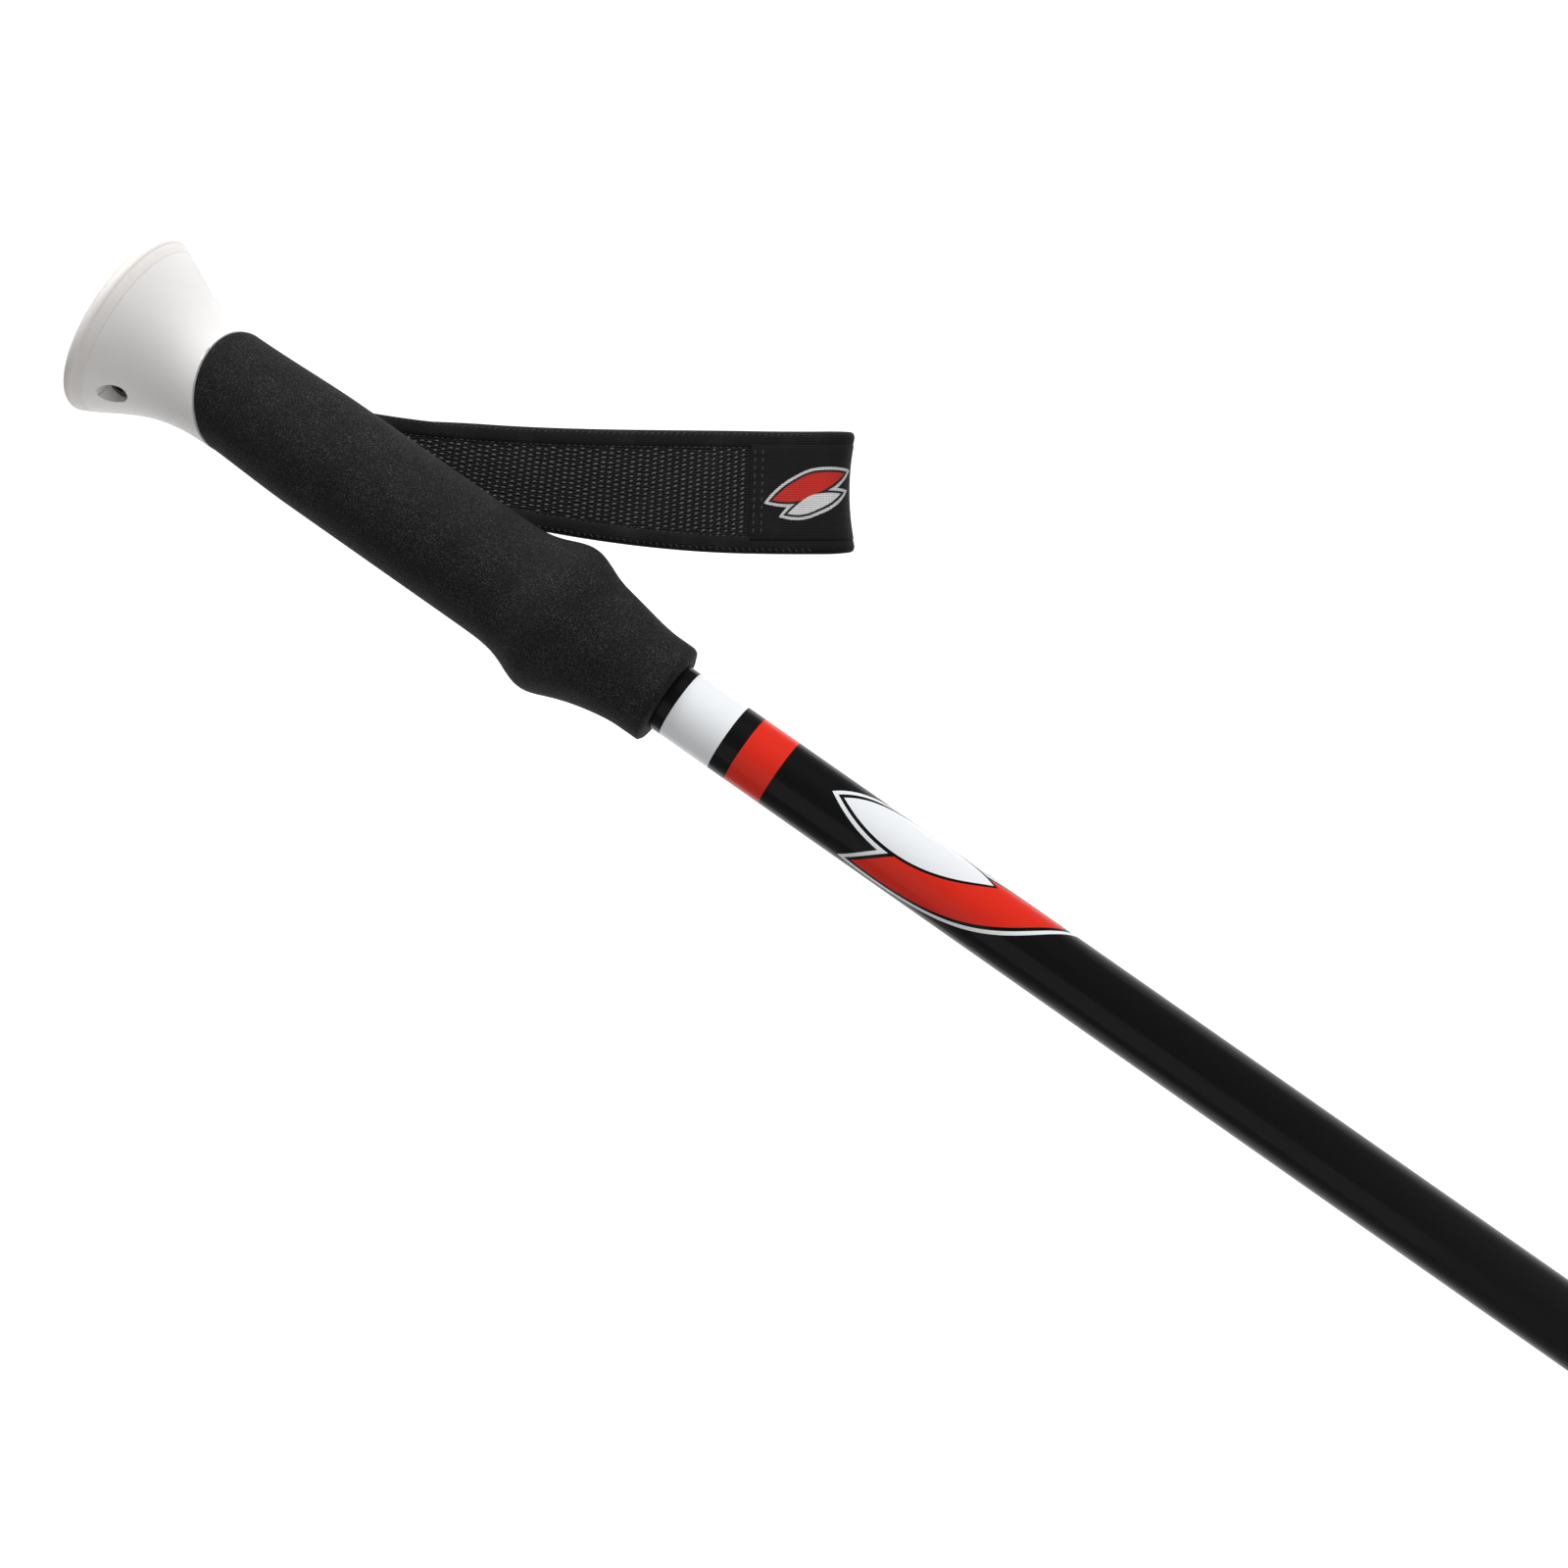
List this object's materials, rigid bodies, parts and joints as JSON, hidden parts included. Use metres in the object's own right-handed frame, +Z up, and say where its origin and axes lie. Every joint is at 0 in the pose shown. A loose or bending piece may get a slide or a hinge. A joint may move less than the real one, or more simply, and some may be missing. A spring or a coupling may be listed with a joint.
{
  "type": "ski pole",
  "caption": "Telescopic ski pole, packed down: foam grip with flared palm cap, wrist strap, lever locks, snow basket and carbide tip.",
  "frame": {"origin": "middle of the carbide tip's end", "axes": "+Z up the shaft towards the grip, -Y towards the side that shows the strap lying to the right (+X)"},
  "size_m": [0.1276, 0.092, 0.6689],
  "materials": {
    "pad": "soft matt",
    "cap": "satin, faintly scuffed",
    "dark_steel": "blackened",
    "foam": "fine grained foam",
    "shaft_paint": "glossy with printed bands",
    "lock_plastic": "fine texture",
    "steel": "turned",
    "lever_red": "satin gloss",
    "webbing": "coarse woven",
    "binding": "rolled tape, stitched",
    "patch": "fine woven, printed",
    "tube_metal": "anodised",
    "basket_plastic": "moulded",
    "carbide": "ground"
  },
  "bodies": {
    "upper": {"grip_cap": "cap", "palm_pad": "pad", "strap_screw": "dark_steel", "strap_sleeve": "dark_steel", "strap_tail": "webbing", "foam_grip": "foam", "upper_tube": "shaft_paint", "upper_collar": "lock_plastic", "upper_tension_screw": "steel", "upper_lever_pin": "steel", "upper_wear_plate": "steel"},
    "strap": {"strap_webbing": "webbing", "strap_binding": "binding", "strap_patch": "patch"},
    "upper_lever": {"upper_lever": "lever_red"},
    "upper_nut": {"upper_thumb_nut": "lock_plastic"},
    "middle": {"middle_tube": "tube_metal", "middle_bush": "lock_plastic", "lower_collar": "lock_plastic", "lower_tension_screw": "steel", "lower_lever_pin": "steel", "lower_wear_plate": "steel"},
    "lower_lever": {"lower_lever": "lever_red"},
    "lower_nut": {"lower_thumb_nut": "lock_plastic"},
    "lower": {"lower_tube": "tube_metal", "lower_bush": "lock_plastic", "tip_ferrule": "basket_plastic", "carbide_tip": "carbide", "basket_hub": "basket_plastic", "basket_disc": "basket_plastic"}
  },
  "joints": [
    {"name": "middle_slide", "type": "slide", "parent": "upper", "child": "middle", "axis": [0, 0, -1], "range_m": [0, 0.33]},
    {"name": "lower_slide", "type": "slide", "parent": "middle", "child": "lower", "axis": [0, 0, -1], "range_m": [0, 0.33]},
    {"name": "upper_lever_hinge", "type": "hinge", "parent": "upper", "child": "upper_lever", "pos_m": [-0.0133, -0.019, 0.159], "axis": [0, 0, 1], "range_deg": [0, 115]},
    {"name": "lower_lever_hinge", "type": "hinge", "parent": "middle", "child": "lower_lever", "pos_m": [-0.0133, -0.018, 0.101], "axis": [0, 0, 1], "range_deg": [0, 115]},
    {"name": "upper_nut_turn", "type": "hinge", "parent": "upper", "child": "upper_nut", "pos_m": [0.0108, -0.019, 0.159], "axis": [1, 0, 0], "range_deg": [-180, 180]},
    {"name": "lower_nut_turn", "type": "hinge", "parent": "middle", "child": "lower_nut", "pos_m": [0.0108, -0.018, 0.101], "axis": [1, 0, 0], "range_deg": [-180, 180]},
    {"name": "strap_swing", "type": "hinge", "parent": "upper", "child": "strap", "pos_m": [-0.00713, 0.01963, 0.644], "axis": [0.8572, 0.515, 0], "range_deg": [0, 95]}
  ]
}
